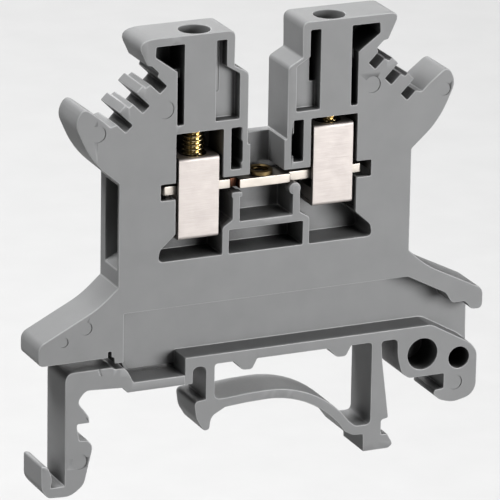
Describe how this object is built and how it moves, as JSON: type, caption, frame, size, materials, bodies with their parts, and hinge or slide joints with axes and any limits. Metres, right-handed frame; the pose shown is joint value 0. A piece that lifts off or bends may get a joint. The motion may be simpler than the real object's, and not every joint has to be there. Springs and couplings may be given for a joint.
{
  "type": "din rail terminal block",
  "caption": "Slim grey feed-through screw terminal for a 35 mm rail, with rising clamp cages, a current bar and a sprung foot latch.",
  "frame": {"origin": "on the plane of the rail's brims, midway between the rail's edges and midway through the block's thickness", "axes": "+X across the rail towards the fixed foot, +Y along the rail towards the closed side of the housing, +Z away from the rail"},
  "size_m": [0.0426, 0.0042, 0.0407],
  "materials": {
    "grey_polyamide": "fine satin moulded polyamide",
    "tinned_copper": "bright tin plate",
    "yellow_brass": "turned and tapped",
    "plated_steel": "bright zinc plate on rolled sheet",
    "yellow_steel": "yellow passivated zinc plate"
  },
  "bodies": {
    "block": {"housing": "grey_polyamide", "current_bar": "tinned_copper", "bridge_bush": "yellow_brass"},
    "latch": {"rail_latch": "grey_polyamide"},
    "screw_left": {"clamp_screw_left": "yellow_steel"},
    "screw_right": {"clamp_screw_right": "yellow_steel"},
    "cage_left": {"clamp_cage_left": "plated_steel"},
    "cage_right": {"clamp_cage_right": "plated_steel"}
  },
  "joints": [
    {"name": "latch_release", "type": "hinge", "parent": "block", "child": "latch", "pos_m": [-0.01, 0, 0.00275], "axis": [0, 1, 0], "range_deg": [0, 5], "stiffness_Nm_per_rad": 0.6},
    {"name": "cage_left_rise", "type": "slide", "parent": "block", "child": "cage_left", "axis": [0, 0, 1], "range_m": [0, 0.002]},
    {"name": "cage_right_rise", "type": "slide", "parent": "block", "child": "cage_right", "axis": [0, 0, 1], "range_m": [-0.0016, 0.0004]},
    {"name": "screw_left_turn", "type": "hinge", "parent": "block", "child": "screw_left", "pos_m": [-0.00635, -0.0005, 0.024], "axis": [0, 0, -1], "range_deg": [0, 1800]},
    {"name": "screw_right_turn", "type": "hinge", "parent": "block", "child": "screw_right", "pos_m": [0.00635, -0.0005, 0.024], "axis": [0, 0, -1], "range_deg": [-1440, 360]}
  ],
  "couplings": [
    {"joint": "screw_left_turn", "follows": "cage_left_rise", "rad_per_m": 15708},
    {"joint": "screw_right_turn", "follows": "cage_right_rise", "rad_per_m": 15708}
  ]
}
